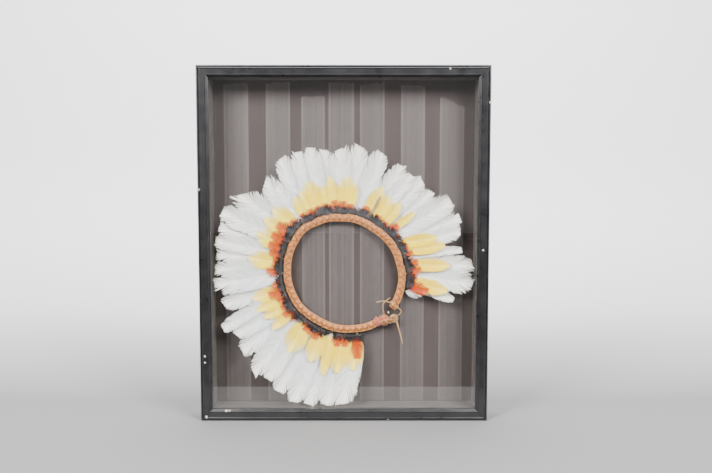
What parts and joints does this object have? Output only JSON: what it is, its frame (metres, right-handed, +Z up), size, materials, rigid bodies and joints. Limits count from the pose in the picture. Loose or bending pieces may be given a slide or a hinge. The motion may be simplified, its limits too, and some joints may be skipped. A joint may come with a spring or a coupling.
{
  "type": "feathered headdress in a glazed display box frame",
  "caption": "Feather crown: a cane head ring with layered black, orange, yellow and white feathers, mounted in a shallow black shadow box with a glass front.",
  "frame": {"origin": "middle of the box's underside, halfway through its depth", "axes": "+Z up the box, -Y out of the glass front towards the viewer, +X to the right as seen from the front"},
  "size_m": [0.5, 0.062, 0.614],
  "materials": {
    "moulding": "satin black paint with small chips",
    "glass": "clear picture glass",
    "spacer": "dark stain, dull",
    "board": "grey-brown cloth covering with faint strips",
    "cane": "split cane with an orange-brown diagonal binding",
    "thread": "salmon red cotton thread",
    "string": "tan twisted plant fibre",
    "pin": "bright",
    "white_feather": "off-white feather vane, frayed at its tip",
    "yellow_feather": "pale to deep yellow feather vane",
    "orange_feather": "orange feather vane",
    "black_feather": "black feather vane with a blue-green sheen",
    "brown_feather": "brown feather vane"
  },
  "bodies": {
    "root": {"frame_bottom_rail": "moulding", "frame_top_rail": "moulding", "frame_left_stile": "moulding", "frame_right_stile": "moulding", "glass_pane": "glass", "spacer_rim": "spacer", "back_board": "board", "head_ring": "cane", "thread_wrap": "thread", "string_lashing": "string", "mount_pin": "pin", "hidden_post_1": "spacer", "hidden_post_2": "spacer", "white_feather_01": "white_feather", "white_feather_02": "white_feather", "white_feather_03": "white_feather", "white_feather_04": "white_feather", "white_feather_05": "white_feather", "white_feather_06": "white_feather", "white_feather_07": "white_feather", "white_feather_08": "white_feather", "white_feather_09": "white_feather", "white_feather_10": "white_feather", "white_feather_11": "white_feather", "white_feather_12": "white_feather", "white_feather_13": "white_feather", "white_feather_14": "white_feather", "white_feather_15": "white_feather", "white_feather_16": "white_feather", "white_feather_17": "white_feather", "white_feather_18": "white_feather", "white_feather_19": "white_feather", "white_feather_20": "white_feather", "white_feather_21": "white_feather", "white_feather_22": "white_feather", "white_feather_23": "white_feather", "white_feather_24": "white_feather", "white_feather_25": "white_feather", "white_feather_26": "white_feather", "white_feather_27": "white_feather", "white_feather_28": "white_feather", "white_feather_29": "white_feather", "white_feather_30": "white_feather", "white_feather_31": "white_feather", "white_feather_32": "white_feather", "white_feather_33": "white_feather", "white_feather_34": "white_feather", "white_feather_35": "white_feather", "white_feather_36": "white_feather", "white_feather_37": "white_feather", "white_feather_38": "white_feather", "yellow_feather_row": "yellow_feather", "orange_feather_row_lower": "orange_feather", "orange_feather_row_main": "orange_feather", "black_feather_row_lower": "black_feather", "black_feather_row_main": "black_feather", "brown_feather": "brown_feather", "down_tuft": "white_feather"}
  },
  "joints": []
}
